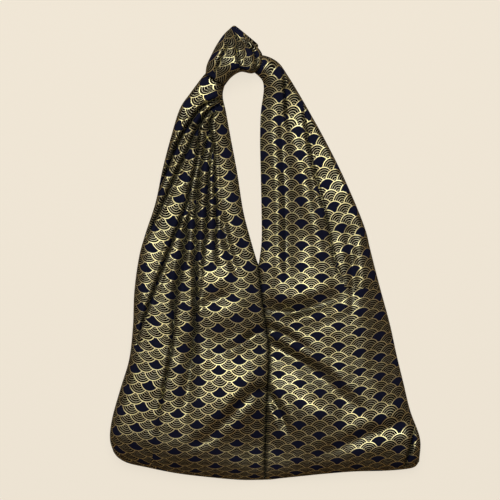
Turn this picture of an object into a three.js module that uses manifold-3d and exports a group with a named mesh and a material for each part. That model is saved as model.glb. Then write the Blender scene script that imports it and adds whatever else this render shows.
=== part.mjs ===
// Knot bag of doubled cotton: two long panels sewn together down the middle, with their ends tied in a knot.
// Millimetres, +Z up. The bag lies face up on its back, with +Y towards the knot.
import * as THREE from 'three';
import { LoftGeometry } from 'three/addons/geometries/LoftGeometry.js';
import { ParametricGeometry } from 'three/addons/geometries/ParametricGeometry.js';
import { mergeGeometries, mergeVertices } from 'three/addons/utils/BufferGeometryUtils.js';
import Module from 'manifold-3d';

const wasm = await Module();
wasm.setup();

// Driving dimensions
const CLOTH = 2; // two layers of cotton
const HALF_CLOTH = CLOTH / 2;
const SEAM_GAP = 0.32; // between the two panels
const KNOT_GAP = 0.4; // between the knot and the straps that run into it
const BASE_ROLL = 44; // how far in from the base edge the front starts to roll over
const BASE_REACH = 4; // sections over which the curve of the base edge fades out
const RISE = 0.35; // share of a panel's width over which the front rises from the seam
const EDGE_CROWDING = 1.4; // above 1 the columns crowd towards the folded side
const BASE_CROWDING = 1.5; // above 1 the rows crowd towards the base
const BODY_ROWS = 18; // from the base to the mouth
const MOUTH = 7; // the section at the foot of the mouth, where the two straps part
const KNOT_RINGS = 14;
const KNOT_SIDES = 22;
const KNOT_SQUARENESS = 0.8; // under 1 makes the knot's section fuller than an ellipse
const KNOT_AXIS_HEIGHT = 0.42; // of the height, so that the underside is cut flat
const KNOT_MOUTH_SCALE = 0.7; // the hollow in the loose end of the wrap
const KNOT_MOUTH_DEPTH = 7;
const PRINTED_COTTON = { color: 0x2b2a2c, roughness: 0.6, metalness: 0.25 };

// One row for each section across a panel, from the base to the knot. The inner end is on the centre seam, or
// on the edge of the mouth above it, and edge is its height. The outer end is on the folded side. Crown is
// the height of the front, roll the radius of the folded side, and turn the depth of the turned-in edge.
const SECTION = ['innerX', 'innerY', 'edge', 'outerX', 'outerY', 'crown', 'roll', 'turn'];
const LEFT_SECTIONS = table(SECTION, [
  [0, -300, 24, -201, -263, 36, 24, 7],
  [0, -270, 24, -205.5, -244, 38, 24, 7],
  [1, -236, 24, -202, -217, 40, 24, 7],
  [2, -196, 24, -191, -178, 39, 22, 7],
  [4, -156, 23, -180, -141, 37, 20, 7],
  [4, -114, 21, -175, -98, 33, 18, 7],
  [-4, -61, 18, -173, -50, 28, 16, 6],
  [-9, -16, 16, -167, -6, 25, 15, 4],
  [-19, 18, 15, -159, 24, 23, 14, 3],
  [-29, 57, 15, -145, 67, 22, 13, 3],
  [-37, 108, 15, -135, 114, 22, 12, 3],
  [-46, 156, 15, -122, 163, 23, 12, 3],
  [-52, 189, 16, -112, 193, 24, 12, 3],
  [-56, 208, 16, -99, 212, 25, 12, 3],
  [-54, 222, 16, -81, 236, 24, 11, 3],
  [-48, 235, 16, -69, 247, 22, 10, 3],
]);
const RIGHT_SECTIONS = table(SECTION, [
  [0, -300, 24, 204, -276, 36, 20, 7],
  [0, -270, 24, 205, -246, 36, 20, 7],
  [1, -236, 24, 192, -209, 39, 24, 7],
  [2, -196, 24, 183, -172, 38, 22, 7],
  [4, -156, 23, 174, -135, 36, 20, 7],
  [4, -114, 21, 165, -94, 32, 18, 7],
  [-4, -61, 18, 151, -42, 27, 16, 6],
  [-9, -16, 16, 139, 5, 23, 14, 4],
  [-5, 15, 15, 133, 30, 21, 13, 3],
  [-5, 55, 14, 120, 64, 19, 12, 3],
  [-6, 104, 14, 99, 111, 18, 11, 3],
  [-7, 150, 14, 77, 154, 18, 11, 3],
  [-6, 187, 15, 58, 188, 19, 11, 3],
  [-3, 208, 16, 43, 214, 21, 11, 3],
  [-2, 220, 16, 30, 235, 23, 11, 3],
  [-4, 230, 16, 17, 253, 24, 11, 3],
  [-11, 238, 16, -1, 262, 22, 10, 3],
  [-22, 246, 16, -20, 262, 20, 9, 3],
]);

// The base edge, from the centre seam to the corner
const EDGE_POINT = ['x', 'y'];
const LEFT_BASE = table(EDGE_POINT, [
  [0, -300],
  [-33, -300],
  [-79, -296],
  [-119, -291],
  [-159, -283],
  [-181, -278],
  [-194, -271],
  [-201, -263],
]);
const RIGHT_BASE = table(EDGE_POINT, [
  [0, -300],
  [39, -296],
  [79, -292],
  [118, -289],
  [158, -288],
  [184, -286],
  [198, -283],
  [204, -276],
]);

// One row for each trough pressed into a panel's front: where it starts, bends and ends, its depth at those
// three places, and its half width
const TROUGH = ['fromX', 'fromY', 'fromDepth', 'viaX', 'viaY', 'viaDepth', 'toX', 'toY', 'toDepth', 'width'];
const LEFT_TROUGHS = table(TROUGH, [
  [-76, 232, 5, -113, 152, 8, -131, 104, 2, 4],
  [-69, 230, 5, -96, 158, 8, -118, 108, 2, 4],
  [-61, 228, 5, -67, 120, 6, -66, 5, 3, 5],
  [-99, 110, 4, -124, 5, 8, -167, -106, 4, 5],
  [-90, 89, 3, -93, 24, 5, -94, -121, 2, 8],
  [-119, -35, 3, -124, -101, 4, -139, -212, 1, 6],
  [0, -189, 4, -41, -208, 6, -99, -255, 2, 12],
]);
const RIGHT_TROUGHS = table(TROUGH, [
  [21, 238, 3, 64, 118, 7, 104, -36, 2, 5],
  [25, 150, 2, 26, 77, 4, 30, -2, 1, 10],
  [1, -73, 4, 41, -71, 5, 83, -63, 2, 6],
  [4, -105, 5, 46, -135, 6, 95, -186, 2, 8],
  [80, -254, 2, 114, -234, 5, 171, -214, 2, 9],
  [195, -222, 4, 191, -253, 8, 184, -283, 3, 5],
]);

// One row for each section of the knot's wrap, from the left strap to its loose end: its ends and its height
const WRAP = ['leftX', 'leftY', 'rightX', 'rightY', 'height'];
const KNOT_SECTIONS = table(WRAP, [
  [-79, 237, -54, 222, 30],
  [-77, 249, -44, 234, 38],
  [-71, 262, -31, 241, 44],
  [-65, 274, -15, 239, 44],
  [-56, 288, -5, 248, 36],
  [-43, 301, 1, 265, 18],
]);

function table(columns, rows) {
  return rows.map((row) => Object.fromEntries(columns.map((name, i) => [name, row[i]])));
}

function curveThrough(rows, x, y, z) {
  return new THREE.CatmullRomCurve3(rows.map((row) => new THREE.Vector3(row[x], row[y], row[z] ?? 0)));
}

// A panel's curves. A place along it is counted in sections from the base, so the panels share their seam.
function makePanel(side, sections, base, troughs, columns, strapRows) {
  return {
    side,
    columns,
    strapRows,
    last: sections.length - 1,
    seam: curveThrough(sections.slice(0, MOUTH + 1), 'innerX', 'innerY', 'edge'),
    mouth: curveThrough(sections.slice(MOUTH), 'innerX', 'innerY', 'edge'),
    outer: curveThrough(sections, 'outerX', 'outerY'),
    front: curveThrough(sections, 'crown', 'roll', 'turn'),
    base: curveThrough(base, 'x', 'y'),
    troughs: troughs.map(makeTrough),
  };
}

function makeTrough(row) {
  const path = new THREE.CatmullRomCurve3([
    new THREE.Vector3(row.fromX, row.fromY, row.fromDepth),
    new THREE.Vector3(row.viaX, row.viaY, row.viaDepth),
    new THREE.Vector3(row.toX, row.toY, row.toDepth),
  ]);
  return { points: path.getPoints(24), width: row.width };
}

function innerEdge(panel, section) {
  const point = section <= MOUTH
    ? panel.seam.getPoint(section / MOUTH)
    : panel.mouth.getPoint((section - MOUTH) / (panel.last - MOUTH));
  point.x += panel.side * (HALF_CLOTH + SEAM_GAP / 2);
  return point;
}

// A point of the panel seen from above: across runs from the inner edge, 0, to the folded side, 1
function planPoint(panel, across, section) {
  const inner = innerEdge(panel, section);
  const outer = panel.outer.getPoint(section / panel.last);
  const chord = panel.base.getPoint(0).lerp(panel.base.getPoint(1), across);
  const sag = panel.base.getPointAt(across).sub(chord);
  const share = 1 - THREE.MathUtils.smoothstep(section, 0, BASE_REACH);
  const plan = inner.clone().lerp(outer, across).addScaledVector(sag, share);
  return new THREE.Vector2(plan.x, plan.y);
}

function quarterRound(distance, radius) {
  const inset = 1 - Math.min(distance / radius, 1);
  return Math.sqrt(1 - inset * inset);
}

function troughDepth(trough, plan) {
  const nearest = trough.points.reduce((best, point) => {
    const distance = Math.hypot(point.x - plan.x, point.y - plan.y);
    return distance < best.distance ? { distance, depth: point.z } : best;
  }, { distance: Infinity, depth: 0 });
  return nearest.depth * Math.exp(-((nearest.distance / trough.width) ** 2));
}

// Height of the middle of the cloth: low at the seam, crowned, and rolled over at the side and the base
function frontHeight(panel, across, section, plan) {
  const inner = innerEdge(panel, section);
  const outer = panel.outer.getPoint(section / panel.last);
  const { x: crown, y: roll } = panel.front.getPoint(section / panel.last);
  const fall = 1 - Math.min(across / RISE, 1);
  const crowned = crown - (crown - inner.z) * fall * fall;
  const folded = panel.troughs.reduce((height, trough) => height - troughDepth(trough, plan), crowned);
  const fromSide = (1 - across) * Math.hypot(outer.x - inner.x, outer.y - inner.y);
  const fromBase = plan.distanceTo(planPoint(panel, across, 0));
  const rolled = quarterRound(fromSide, roll) * quarterRound(fromBase, BASE_ROLL);
  return HALF_CLOTH + (folded - HALF_CLOTH) * rolled;
}

function acrossAt(u) {
  return 1 - (1 - u) ** EDGE_CROWDING;
}

function sectionAt(panel, v) {
  const row = v * (BODY_ROWS + panel.strapRows);
  if (row <= BODY_ROWS) {
    return MOUTH * (row / BODY_ROWS) ** BASE_CROWDING;
  }
  return MOUTH + (panel.last - MOUTH) * (row - BODY_ROWS) / panel.strapRows;
}

function frontSheet(panel) {
  const place = (u, v, target) => {
    const across = acrossAt(u);
    const section = sectionAt(panel, v);
    const plan = planPoint(panel, across, section);
    target.set(plan.x, plan.y, frontHeight(panel, across, section, plan));
  };
  return new ParametricGeometry(place, panel.columns, BODY_ROWS + panel.strapRows);
}

// The strip of the front that is turned down into the bag along the seam and the mouth
function turnedEdge(panel) {
  const place = (u, v, target) => {
    const section = sectionAt(panel, v);
    const plan = planPoint(panel, 0, section);
    const top = frontHeight(panel, 0, section, plan);
    const turn = panel.front.getPoint(section / panel.last).z;
    target.set(plan.x, plan.y, Math.max(top - turn * (1 - u), HALF_CLOTH));
  };
  return new ParametricGeometry(place, 1, BODY_ROWS + panel.strapRows);
}

// The back lies flat inside the same outline
function backSheet(panel) {
  const rows = BODY_ROWS + panel.strapRows;
  const outline = [];
  for (let i = 0; i < panel.columns; i += 1) {
    outline.push(planPoint(panel, acrossAt(i / panel.columns), 0));
  }
  for (let j = 0; j < rows; j += 1) {
    outline.push(planPoint(panel, 1, sectionAt(panel, j / rows)));
  }
  for (let i = panel.columns; i > 0; i -= 1) {
    outline.push(planPoint(panel, acrossAt(i / panel.columns), panel.last));
  }
  for (let j = rows; j > 0; j -= 1) {
    outline.push(planPoint(panel, 0, sectionAt(panel, j / rows)));
  }
  return new THREE.ShapeGeometry(new THREE.Shape(outline)).translate(0, 0, HALF_CLOTH);
}

function flipped(geometry) {
  const index = Array.from(geometry.index.array);
  for (let i = 0; i < index.length; i += 3) {
    [index[i], index[i + 1]] = [index[i + 1], index[i]];
  }
  geometry.setIndex(index);
  return geometry;
}

// One surface with its shared points merged and its empty triangles dropped
function weld(geometries) {
  geometries.forEach((geometry) => {
    geometry.deleteAttribute('normal');
    geometry.deleteAttribute('uv');
  });
  const sheet = mergeVertices(mergeGeometries(geometries), 1e-3);
  const corners = Array.from(sheet.index.array);
  const kept = [];
  for (let i = 0; i < corners.length; i += 3) {
    const [a, b, c] = corners.slice(i, i + 3);
    if (a !== b && b !== c && c !== a) {
      kept.push(a, b, c);
    }
  }
  sheet.setIndex(kept);
  return sheet;
}

// Half the cloth's thickness at one point of the sheet, mitred where the sheet lies on its back
function halfThickness(point, normal) {
  if (Math.abs(point.z - HALF_CLOTH) > 1e-3) {
    return normal.multiplyScalar(HALF_CLOTH);
  }
  const outward = new THREE.Vector3(normal.x, normal.y, 0);
  if (outward.length() < 0.2) {
    return new THREE.Vector3(0, 0, -HALF_CLOTH);
  }
  return outward.setLength(HALF_CLOTH).setZ(-HALF_CLOTH);
}

// A closed solid around a sheet: its outer face, its inner face and a rim along every free edge
function thicken(sheet) {
  sheet.computeVertexNormals();
  const count = sheet.attributes.position.count;
  const places = new Float32Array(count * 6);
  for (let i = 0; i < count; i += 1) {
    const point = new THREE.Vector3().fromBufferAttribute(sheet.attributes.position, i);
    const half = halfThickness(point, new THREE.Vector3().fromBufferAttribute(sheet.attributes.normal, i));
    point.clone().add(half).toArray(places, i * 3);
    point.clone().sub(half).toArray(places, (count + i) * 3);
  }
  const corners = Array.from(sheet.index.array);
  const edges = new Set();
  const triangles = [];
  for (let i = 0; i < corners.length; i += 3) {
    const [a, b, c] = corners.slice(i, i + 3);
    triangles.push(a, b, c, count + c, count + b, count + a);
    [[a, b], [b, c], [c, a]].forEach((edge) => edges.add(edge.join(' ')));
  }
  edges.forEach((edge) => {
    const [a, b] = edge.split(' ').map(Number);
    if (!edges.has(`${b} ${a}`)) {
      triangles.push(b, a, count + a, b, count + a, count + b);
    }
  });
  const solid = new THREE.BufferGeometry();
  solid.setAttribute('position', new THREE.BufferAttribute(places, 3));
  solid.setIndex(triangles);
  return solid;
}

function panelGeometry(panel) {
  const front = [turnedEdge(panel), frontSheet(panel)];
  const back = flipped(backSheet(panel));
  return thicken(weld(panel.side > 0 ? [...front, back] : [...front.map(flipped), back]));
}

// An oval upright section of the knot, flat underneath. Inward moves it back from the loose end of the wrap,
// and room is added all round.
function knotRing(row, scale, inward, room) {
  const left = new THREE.Vector3(row.leftX, row.leftY, 0);
  const right = new THREE.Vector3(row.rightX, row.rightY, 0);
  const middle = left.clone().lerp(right, 0.5);
  const halfWidth = left.distanceTo(right) / 2 + room;
  const across = right.clone().sub(left).normalize();
  const loose = new THREE.Vector3(-across.y, across.x, 0);
  const ring = [];
  for (let i = 0; i < KNOT_SIDES; i += 1) {
    const angle = (-2 * Math.PI * i) / KNOT_SIDES;
    const sideways = Math.sign(Math.cos(angle)) * Math.abs(Math.cos(angle)) ** KNOT_SQUARENESS;
    const upward = Math.sign(Math.sin(angle)) * Math.abs(Math.sin(angle)) ** KNOT_SQUARENESS;
    const halfHeight = row.height * (1 - KNOT_AXIS_HEIGHT) + room;
    const height = row.height * KNOT_AXIS_HEIGHT + halfHeight * upward * scale;
    const point = middle.clone().addScaledVector(across, sideways * halfWidth * scale);
    point.addScaledVector(loose, -inward);
    ring.push(point.setZ(Math.max(height, -room)));
  }
  return ring;
}

// The wrap of the knot, closed at the left strap and hollowed at its loose end
function knotGeometry(room) {
  const first = KNOT_SECTIONS[0];
  const last = KNOT_SECTIONS[KNOT_SECTIONS.length - 1];
  const leftEnds = curveThrough(KNOT_SECTIONS, 'leftX', 'leftY', 'height');
  const rightEnds = curveThrough(KNOT_SECTIONS, 'rightX', 'rightY');
  const rings = [knotRing(first, 0, room, room), knotRing(first, 1, room, room)];
  for (let i = 1; i < KNOT_RINGS; i += 1) {
    const left = leftEnds.getPoint(i / KNOT_RINGS);
    const right = rightEnds.getPoint(i / KNOT_RINGS);
    const row = { leftX: left.x, leftY: left.y, rightX: right.x, rightY: right.y, height: left.z };
    rings.push(knotRing(row, 1, 0, room));
  }
  rings.push(knotRing(last, 1, -room, room));
  rings.push(knotRing(last, KNOT_MOUTH_SCALE, KNOT_MOUTH_DEPTH - room, -room));
  rings.push(knotRing(last, 0, KNOT_MOUTH_DEPTH - room, -room));
  return weld([new LoftGeometry(rings)]);
}

function toSolid(geometry) {
  const vertProperties = new Float32Array(geometry.attributes.position.array);
  const triVerts = new Uint32Array(geometry.index.array);
  return new wasm.Manifold(new wasm.Mesh({ numProp: 3, vertProperties, triVerts }));
}

function toGeometry(solid) {
  const mesh = solid.getMesh();
  const geometry = new THREE.BufferGeometry();
  geometry.setAttribute('position', new THREE.BufferAttribute(new Float32Array(mesh.vertProperties), 3));
  geometry.setIndex(Array.from(mesh.triVerts));
  return geometry;
}

function addPiece(group, name, geometry) {
  const piece = new THREE.Mesh(geometry, new THREE.MeshStandardMaterial(PRINTED_COTTON));
  piece.name = name;
  group.add(piece);
}

const knot = knotGeometry(0);
const knotRoom = toSolid(knotGeometry(KNOT_GAP));
const leftPanel = makePanel(-1, LEFT_SECTIONS, LEFT_BASE, LEFT_TROUGHS, 26, 14);
const rightPanel = makePanel(1, RIGHT_SECTIONS, RIGHT_BASE, RIGHT_TROUGHS, 20, 15);

const bag = new THREE.Group();
addPiece(bag, 'left_panel', toGeometry(toSolid(panelGeometry(leftPanel)).subtract(knotRoom)));
addPiece(bag, 'right_panel', toGeometry(toSolid(panelGeometry(rightPanel)).subtract(knotRoom)));
addPiece(bag, 'knot', knot);

export default bag;
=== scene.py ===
"""Knot bag of wave-printed cotton, lying face up: two gathered panels and the knot of their straps."""

import logging
import math
from dataclasses import dataclass
from enum import Enum
from typing import Callable, NamedTuple

import bmesh
import bpy
import numpy as np
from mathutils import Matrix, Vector


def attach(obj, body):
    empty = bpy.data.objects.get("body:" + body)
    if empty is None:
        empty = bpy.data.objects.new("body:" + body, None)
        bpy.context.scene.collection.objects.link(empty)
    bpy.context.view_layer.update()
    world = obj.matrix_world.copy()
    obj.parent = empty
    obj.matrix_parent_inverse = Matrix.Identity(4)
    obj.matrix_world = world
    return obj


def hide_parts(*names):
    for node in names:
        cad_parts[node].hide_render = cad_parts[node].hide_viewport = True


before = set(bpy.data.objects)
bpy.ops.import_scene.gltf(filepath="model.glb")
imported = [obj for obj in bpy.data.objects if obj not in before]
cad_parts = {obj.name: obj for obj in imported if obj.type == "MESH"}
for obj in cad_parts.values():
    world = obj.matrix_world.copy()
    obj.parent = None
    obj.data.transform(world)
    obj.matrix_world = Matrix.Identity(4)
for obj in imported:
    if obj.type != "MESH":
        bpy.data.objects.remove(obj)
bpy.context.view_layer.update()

MM = 0.001
CLOTH = 1.6  # thickness of the doubled cotton, in millimetres
HALF_CLOTH = CLOTH / 2
SEAM_GAP = 0.32  # between the two panels
MERGE = 0.02  # points nearer than this are one, in millimetres
WAVE_RADIUS = 13.6  # of the printed waves, in millimetres
WAVE_PITCH = 2 * WAVE_RADIUS
FAN_CENTRE = 0.6  # of the wave's radius, from a fan's point up to its middle
PATH_STEPS = 8  # straight steps between two points of a fold's path
BASE_POINTS = 80  # along the line of a panel's base
RUN_POINTS = 400  # along a panel, where its length is measured
INNER_FIELDS = 3  # of a panel's section: the place and height of its inner end
TURN_POINTS = 721  # round a section of the knot, where its girth is measured
SHORTEST = 1e-9  # squared length below which a step counts as this long
BODY = "root"
CLOTH_MAP = "cloth"

log = logging.getLogger("knot_bag")


class Side(Enum):
    """The half of the bag that a panel makes, with the sign of its X."""

    LEFT = -1
    RIGHT = 1


class Section(NamedTuple):
    """One section across a panel, in millimetres, from its inner end to its folded side.

    The inner end has a place and the height of its edge, and the folded side has a place. Between them
    the front rises to its crown. roll is how far the side's rounding reaches, and turn how deep the inner
    edge is turned in.
    """

    inner_x: float
    inner_y: float
    edge: float
    outer_x: float
    outer_y: float
    crown: float
    roll: float
    turn: float


class Cut(NamedTuple):
    """A fold's line at which the print breaks off, because some cloth is hidden in the fold.

    u and v are the hidden cloth at each point in millimetres, and beyond is above zero past the line.
    """

    u: np.ndarray
    v: np.ndarray
    beyond: np.ndarray


class Chart(NamedTuple):
    """A grid of points in millimetres, with their places on the flat cloth."""

    x: np.ndarray
    y: np.ndarray
    z: np.ndarray
    u: np.ndarray
    v: np.ndarray
    cuts: tuple[Cut, ...] = ()

    def laid(self) -> tuple[np.ndarray, np.ndarray]:
        """Counts the hidden cloth in, for points that stand alone.

        Returns:
            The two coordinates on the flat cloth, in millimetres.
        """
        u, v = self.u, self.v
        for cut in self.cuts:
            u = u + np.where(cut.beyond > 0, cut.u, 0)
            v = v + np.where(cut.beyond > 0, cut.v, 0)
        return u, v


ChartMaker = Callable[[np.ndarray, np.ndarray], Chart]


def smooth_rows(rows: np.ndarray, at: np.ndarray) -> np.ndarray:
    """Values between the rows of a table, on a smooth curve through them.

    Args:
        rows: The table, one row for each whole number.
        at: Fractional row numbers.

    Returns:
        One row of values for each entry of at.
    """
    last = len(rows) - 1
    whole = np.clip(np.floor(at).astype(int), 0, last - 1)
    part = (at - whole)[..., None]
    here = rows[whole]
    after = rows[whole + 1]
    before = np.where((whole > 0)[..., None], rows[np.maximum(whole - 1, 0)], 2 * here - after)
    beyond = np.where((whole < last - 1)[..., None], rows[np.minimum(whole + 2, last)], 2 * after - here)
    linear = after - before
    square = 2 * before - 5 * here + 4 * after - beyond
    cube = 3 * (here - after) + beyond - before
    return 0.5 * (2 * here + linear * part + square * part**2 + cube * part**3)


def look_up(table: tuple[tuple[float, ...], ...], at: np.ndarray, column: int = 1) -> np.ndarray:
    """Values from a column of a table, straight between its rows, for places in its first column."""
    known = np.array(table, float)
    return np.interp(at, known[:, 0], known[:, column])


def smoothstep(value: np.ndarray, low: float, high: float) -> np.ndarray:
    """A soft step from 0 at low to 1 at high."""
    share = np.clip((value - low) / (high - low), 0, 1)
    return share * share * (3 - 2 * share)


def quarter_round(distance: np.ndarray, radius: np.ndarray | float) -> np.ndarray:
    """Height of a rounded edge, from 0 at the edge to 1 at its radius."""
    inset = 1 - np.clip(distance / radius, 0, 1)
    return np.sqrt(1 - inset * inset)


def bump(distance: np.ndarray, width: np.ndarray | float) -> np.ndarray:
    """A soft bell that is 1 at no distance."""
    return np.exp(-((distance / width) ** 2))


def signed_power(value: np.ndarray, power: float) -> np.ndarray:
    """A power of a value's size, with its sign."""
    return np.sign(value) * np.abs(value) ** power


def turned(x: np.ndarray, y: np.ndarray, degrees: float) -> tuple[np.ndarray, np.ndarray]:
    """Places measured along a direction and across it."""
    angle = math.radians(degrees)
    return x * math.cos(angle) + y * math.sin(angle), y * math.cos(angle) - x * math.sin(angle)


def run_along(x: np.ndarray, y: np.ndarray) -> np.ndarray:
    """Length of a line up to each of its points."""
    return np.concatenate([[0], np.cumsum(np.hypot(np.diff(x), np.diff(y)))])


def summed(steps: np.ndarray) -> np.ndarray:
    """Sums of the steps along each row of a grid, from 0 at its first point."""
    return np.concatenate([np.zeros((len(steps), 1)), np.cumsum(steps, axis=1)], axis=1)


def path_steps(x: np.ndarray, y: np.ndarray, z: np.ndarray, axis: int) -> np.ndarray:
    """Lengths of the steps between the points of a grid.

    Args:
        x: Places across, in millimetres.
        y: Places along, in millimetres.
        z: Heights, in millimetres.
        axis: 0 for steps from row to row, 1 for steps from column to column.

    Returns:
        The length of the step to each point from the one before, 0 for the first.
    """
    steps = np.sqrt(sum(np.diff(part, axis=axis) ** 2 for part in (x, y, z)))
    return np.concatenate([np.zeros_like(steps[:1] if axis == 0 else steps[:, :1]), steps], axis=axis)


@dataclass(frozen=True)
class Fold:
    """A crease pressed into a cloth's front, in millimetres.

    path holds its places and depths, and width is its half width. A lean above zero makes it narrower on
    the path's left and wider on its right. ridge is the share of its depth that stands up beside it,
    ridge_off from its line and ridge_width wide, both in half widths. A fold that hides cloth also has a
    slit along its line, at most groove deep, whose half width is groove over groove_slope. hides is the
    fold's weight where a panel shares its spare cloth out, and otherwise the cloth that is hidden where the
    fold is deepest. Below zero it moves the print the other way.
    """

    path: tuple[tuple[float, float, float], ...]
    width: float
    lean: float = 0.0
    ridge: float = 0.25
    hides: float = 0.0
    groove: float = 4.0
    groove_slope: float = 3.0
    ridge_off: float = 2.0
    ridge_width: float = 0.9

    def measure(self, x: np.ndarray, y: np.ndarray) -> tuple[np.ndarray, np.ndarray, np.ndarray]:
        """How each place lies to the fold.

        Args:
            x: Places across, in millimetres.
            y: Places along, in millimetres.

        Returns:
            The distance from the fold, its depth there, and 1 on its left or -1 on its right.
        """
        last = len(self.path) - 1
        line = smooth_rows(np.array(self.path, float), np.linspace(0, last, PATH_STEPS * last + 1))
        best = np.full(x.shape, np.inf)
        depth = np.zeros(x.shape)
        side = np.zeros(x.shape)
        for start, end in zip(line[:-1], line[1:]):
            run_x, run_y = end[0] - start[0], end[1] - start[1]
            length = max(run_x * run_x + run_y * run_y, SHORTEST)
            off_x, off_y = x - start[0], y - start[1]
            share = np.clip((off_x * run_x + off_y * run_y) / length, 0, 1)
            distance = np.hypot(off_x - share * run_x, off_y - share * run_y)
            nearer = distance < best
            best = np.where(nearer, distance, best)
            depth = np.where(nearer, start[2] + share * (end[2] - start[2]), depth)
            side = np.where(nearer, np.sign(run_x * off_y - run_y * off_x), side)
        return best, depth, side

    def relief(self, x: np.ndarray, y: np.ndarray) -> np.ndarray:
        """Height that the fold adds.

        Args:
            x: Places across, in millimetres.
            y: Places along, in millimetres.

        Returns:
            The height at each place, below zero in the crease.
        """
        distance, depth, side = self.measure(x, y)
        width = self.width * (1 - self.lean * side)
        beside = bump(distance - self.ridge_off * width, self.ridge_width * width) * self.ridge
        height = depth * (beside - bump(distance, width))
        if self.hides:
            slit = bump(distance, self.groove / self.groove_slope)
            height = height - np.minimum(depth, self.groove) * slit
        return height

    def taken(self, x: np.ndarray, y: np.ndarray) -> tuple[np.ndarray, np.ndarray]:
        """Cloth that the fold has taken up.

        Args:
            x: Places across, in millimetres.
            y: Places along, in millimetres.

        Returns:
            The cloth hidden beside each place, and how far the place lies to the fold's left.
        """
        distance, depth, side = self.measure(x, y)
        deepest = max(place[2] for place in self.path)
        return self.hides * depth / deepest, distance * side


class Cockle(NamedTuple):
    """The slight unevenness of cotton that has been folded: crossing waves, in millimetres and degrees.

    height is that of a wave of full_length, and longer waves are higher. The line of each wave sways to and
    fro by sway, and sway_length times its length is one radian of that.
    """

    turns: tuple[float, ...] = (12, 47, 81, 118, 149, 171)
    lengths: tuple[float, ...] = (31, 23, 37, 19, 43, 27)
    height: float = 0.13
    full_length: float = 25.0
    sway: float = 4.0
    sway_length: float = 1.7

    def relief(self, x: np.ndarray, y: np.ndarray) -> np.ndarray:
        """Height that the unevenness adds.

        Args:
            x: Places across, in millimetres.
            y: Places along, in millimetres.

        Returns:
            The height at each place.
        """
        total = np.zeros(x.shape)
        for number, (turn, length) in enumerate(zip(self.turns, self.lengths)):
            along, across = turned(x, y, turn)
            swayed = along + self.sway * np.sin(across / (self.sway_length * length) + number)
            height = self.height * length / self.full_length
            total += height * np.sin(2 * math.pi * swayed / length + 2 * number)
        return total


class Swell(NamedTuple):
    """A soft rise, or a hollow where height is below zero, in millimetres. Turn is in degrees."""

    x: float
    y: float
    long: float
    wide: float
    turn: float
    height: float

    def relief(self, x: np.ndarray, y: np.ndarray) -> np.ndarray:
        """Height that the swell adds at each place."""
        along, across = turned(x - self.x, y - self.y, self.turn)
        return self.height * np.exp(-((along / self.long) ** 2) - (across / self.wide) ** 2)


def follow_strap(chart: Chart, start: float, full: float) -> np.ndarray:
    """Places along a panel that turn with its strap.

    Args:
        chart: The grid of points, a row for each section.
        start: Where the strap begins to turn, in millimetres along the panel.
        full: Where the print has turned with it.

    Returns:
        The length along the panel at each point, in millimetres.
    """
    middle_x, middle_y = chart.x.mean(axis=1), chart.y.mean(axis=1)
    run = run_along(middle_x, middle_y)
    beyond = start + run - np.interp(start, middle_y, run)
    level = np.where(middle_y > start, beyond, middle_y)[:, None]
    return chart.y + (level - chart.y) * smoothstep(chart.y, start, full)


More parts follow.
